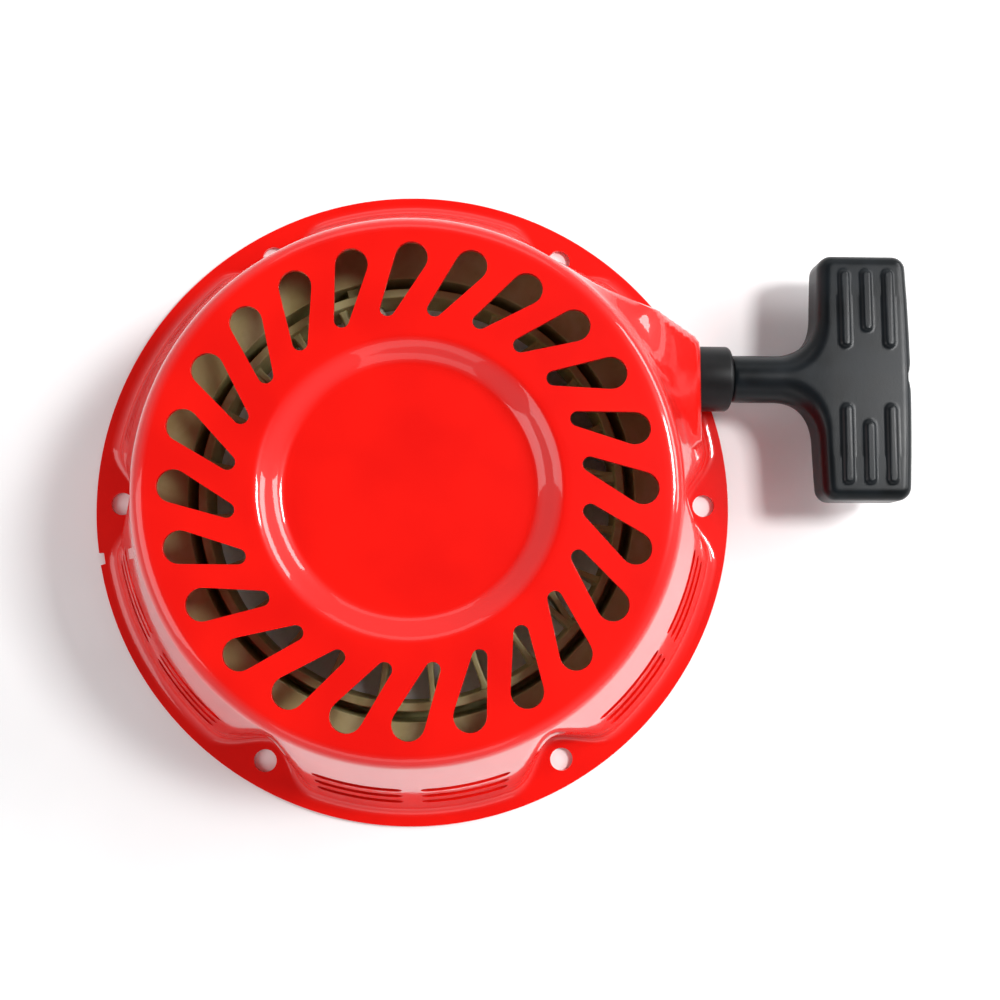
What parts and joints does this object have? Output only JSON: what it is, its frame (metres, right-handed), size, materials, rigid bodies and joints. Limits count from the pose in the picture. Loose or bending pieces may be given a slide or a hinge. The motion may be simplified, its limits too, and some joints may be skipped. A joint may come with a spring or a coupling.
{
  "type": "recoil starter",
  "caption": "Round vented pull starter for a small engine: pressed dome, rope reel with rewind spring, cammed pawls and tee handle.",
  "frame": {"origin": "centre of the mounting flange's engine-side face, on the axis of the reel", "axes": "+Z out through the crown of the dome along the reel's axis; +X the way the rope is pulled; the rope leaves at y = +38 mm"},
  "size_m": [0.2525, 0.2, 0.058],
  "materials": {
    "red_enamel_steel": "gloss baked enamel on pressed sheet steel",
    "khaki_nylon": "satin moulded nylon",
    "yellow_zinc_steel": "yellow chromate over zinc plate",
    "bright_zinc_steel": "clear chromate over zinc plate",
    "blued_spring_steel": "oiled tempered strip and wire",
    "pawl_steel": "sintered steel",
    "braided_rope": "off-white braided nylon cord",
    "black_nylon": "satin moulded nylon",
    "black_grip_plastic": "satin to gloss moulded grip",
    "red_stamp_ink": "flat marking ink"
  },
  "bodies": {
    "housing": {"housing_shell": "red_enamel_steel", "center_post": "bright_zinc_steel", "shaft_collar": "yellow_zinc_steel", "center_bolt": "bright_zinc_steel", "rope_guide": "black_nylon", "rope_run": "braided_rope"},
    "reel": {"rope_reel": "khaki_nylon", "rope_coil": "braided_rope", "reel_knot": "braided_rope", "rewind_spring": "blued_spring_steel", "pawl_spring_a": "blued_spring_steel", "pawl_spring_b": "blued_spring_steel"},
    "guide": {"ratchet_guide": "yellow_zinc_steel", "inspection_dot": "red_stamp_ink", "friction_spring": "blued_spring_steel"},
    "left_pawl": {"pawl_a": "pawl_steel"},
    "right_pawl": {"pawl_b": "pawl_steel"},
    "pull_rope": {"rope_lead": "braided_rope", "handle_washer": "bright_zinc_steel", "handle_knot": "braided_rope"},
    "handle": {"handle_grip": "black_grip_plastic"}
  },
  "joints": [
    {"name": "reel_spin", "type": "hinge", "parent": "housing", "child": "reel", "pos_m": [0, 0, 0.025], "axis": [0, 0, -1], "range_deg": [0, 975], "stiffness_Nm_per_rad": 0.12, "springref_deg": -343.77, "deforming": ["rewind_spring"]},
    {"name": "rope_pull", "type": "slide", "parent": "housing", "child": "pull_rope", "axis": [1, 0, 0], "range_m": [0, 1.2], "deforming": ["rope_lead"]},
    {"name": "handle_swivel", "type": "hinge", "parent": "pull_rope", "child": "handle", "pos_m": [0.138, 0.038, 0.018], "axis": [1, 0, 0], "continuous": true},
    {"name": "guide_turn", "type": "hinge", "parent": "reel", "child": "guide", "pos_m": [0, 0, 0.0145], "axis": [0, 0, 1], "range_deg": [0, 28], "stiffness_Nm_per_rad": 0.01, "springref_deg": -17.19},
    {"name": "left_pawl_swing", "type": "hinge", "parent": "reel", "child": "left_pawl", "pos_m": [-0.01727, -0.01283, 0.0185], "axis": [0, 0, 1], "range_deg": [0, 23]},
    {"name": "right_pawl_swing", "type": "hinge", "parent": "reel", "child": "right_pawl", "pos_m": [0.01727, 0.01283, 0.0185], "axis": [0, 0, 1], "range_deg": [0, 23]}
  ],
  "couplings": [
    {"joint": "rope_pull", "follows": "reel_spin", "m_per_rad": 0.0704},
    {"joint": "left_pawl_swing", "follows": "guide_turn", "ratio": 0.8214},
    {"joint": "right_pawl_swing", "follows": "guide_turn", "ratio": 0.8214}
  ]
}
